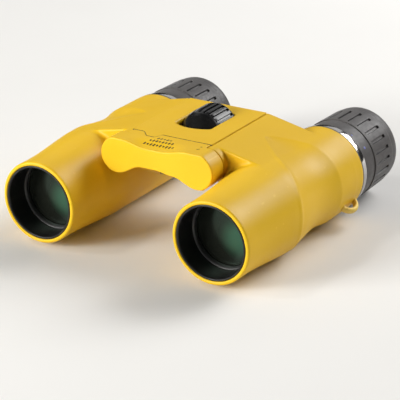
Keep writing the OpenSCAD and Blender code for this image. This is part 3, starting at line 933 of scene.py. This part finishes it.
def fit_barrel(side, collar_body, collar_node):
    """Everything that one barrel shows, from its shell to its eyecup."""
    mirrored = side == "left"
    half = f"{side}_half"
    shell = add_piece(f"{side}_shell", housing_points, housing_quads, yellow, mirrored)
    fit(shell, half, "yellow_plastic", f"{side}_housing")
    # the ear takes the lighter yellow, painted light for its lit face
    ear = add_piece(f"{side}_ear", ear_points, ear_quads, ear_painted_light_yellow, mirrored)
    fit(ear, half, "yellow_plastic", f"{side}_strap_ear")
    cell = turned(f"{side}_front_cell", cell_profile, 160, black_metal, mirrored)
    fit(cell, half, "black_metal", f"{side}_objective_cell")
    retainer = turned(f"{side}_lens_retainer", retainer_profile, 160, retainer_metal, mirrored)
    fit(retainer, half, "black_metal", f"{side}_retaining_ring")
    lens = turned(f"{side}_front_lens", lens_profile(), 120, lens_glass[side], mirrored)
    fit(lens, half, "coated_glass", f"{side}_objective_lens")
    ring = turned(f"{side}_chrome_ring", trim_profile, 200, chrome, mirrored)
    fit(ring, half, "chrome_trim", f"{side}_trim_ring")
    # painted shade: a black ring in the joint before the chrome ring
    shade_line = turned(f"{side}_ring_shade_line", shade_line_profile, 160, black_plastic, mirrored)
    fit(shade_line, half, "black_plastic")
    collar = turned(f"{side}_collar", collar_profile, 200, rubber, mirrored)
    fit(collar, collar_body, "grip_rubber", collar_node)
    grip = turned(f"{side}_grip", cup_profile, SLOTS * 28, rubber, mirrored, slot_relief)
    fit(grip, f"{side}_eyecup", "grip_rubber", f"{side}_eyecup")


fit_barrel("left", "left_half", "left_eyepiece_collar")
fit_barrel("right", "right_dioptre_ring", "right_dioptre_ring")

fit(index_dot("index_dot", 33, 86.8, 0.6), "right_dioptre_ring", "grip_rubber")
fit(index_dot("zero_dot", 57, 85.3, 0.4), "right_dioptre_ring", "grip_rubber")

# ---- floor, light and camera -----------------------------------------------------------

floor_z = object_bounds()[0].z
bpy.ops.mesh.primitive_plane_add(size=12, location=(0, 2, floor_z))
floor = bpy.context.object
floor.name = "floor"
floor.data.materials.append(pale_floor())

TARGET = Vector(place((32.56, 0, 15.27))[0])
LIT = Vector(place((0, 50, 10))[0])      # what the lamps face
LIGHT_DISTANCE = 1.1
VIEW_AZ = 32.68
VIEW_EL = 22.35
VIEW_ROLL = -1.07
VIEW_DISTANCE = 0.6623


def aimed(direction, roll=0.0):
    """A turn whose -Z looks along direction, rolled about it, in degrees."""
    forward = Vector(direction).normalized()
    right = forward.cross(Vector((0, 0, 1))).normalized()
    up = right.cross(forward)
    a = math.radians(roll)
    x_axis = right * math.cos(a) + up * math.sin(a)
    y_axis = up * math.cos(a) - right * math.sin(a)
    return Matrix((x_axis, y_axis, -forward)).transposed().to_4x4()


def towards(azimuth, elevation):
    """Unit vector to where a camera at that azimuth and elevation stands."""
    az, el = math.radians(azimuth), math.radians(elevation)
    return Vector((math.sin(az) * math.cos(el), -math.cos(az) * math.cos(el), math.sin(el)))


camera_data = bpy.data.cameras.new("camera")
camera_data.lens = 177
camera_data.sensor_width = 36
camera_data.clip_start = 0.01
camera = bpy.data.objects.new("camera", camera_data)
bpy.context.scene.collection.objects.link(camera)
direction = towards(VIEW_AZ, VIEW_EL)
stand = Matrix.Translation(TARGET + direction * VIEW_DISTANCE)
camera.matrix_world = stand @ aimed(-direction, VIEW_ROLL)
bpy.context.scene.camera = camera


def softbox(name, azimuth, elevation, size, energy, colour=(1, 1, 1)):
    """A lamp of that size in metres, aimed at the middle of the object."""
    light_data = bpy.data.lights.new(name, "AREA")
    light_data.shape = "RECTANGLE"
    light_data.size, light_data.size_y = size
    light_data.energy = energy
    light_data.color = colour
    light = bpy.data.objects.new(name, light_data)
    bpy.context.scene.collection.objects.link(light)
    away = towards(azimuth, elevation)
    light.matrix_world = Matrix.Translation(LIT + away * LIGHT_DISTANCE) @ aimed(-away)


softbox("key", -33, 18, (0.5, 0.4), 13.8, (1, 1, 0.97))
softbox("front", 0, 12, (0.5, 0.4), 1.8)
softbox("glint", -54, 49, (0.12, 0.12), 1.5)
softbox("back_right", 143, 31, (0.6, 0.5), 5.1)
softbox("back", 160, 36, (0.6, 0.5), 7.0)
softbox("back_left", -150, 35, (0.9, 0.6), 1.2)

world = bpy.data.worlds.new("world")
bpy.context.scene.world = world
world.use_nodes = True
sky = world.node_tree.nodes["Background"]
sky.inputs["Color"].default_value = (1, 1, 1, 1)
sky.inputs["Strength"].default_value = 0.04
bpy.context.scene.view_settings.view_transform = "Standard"
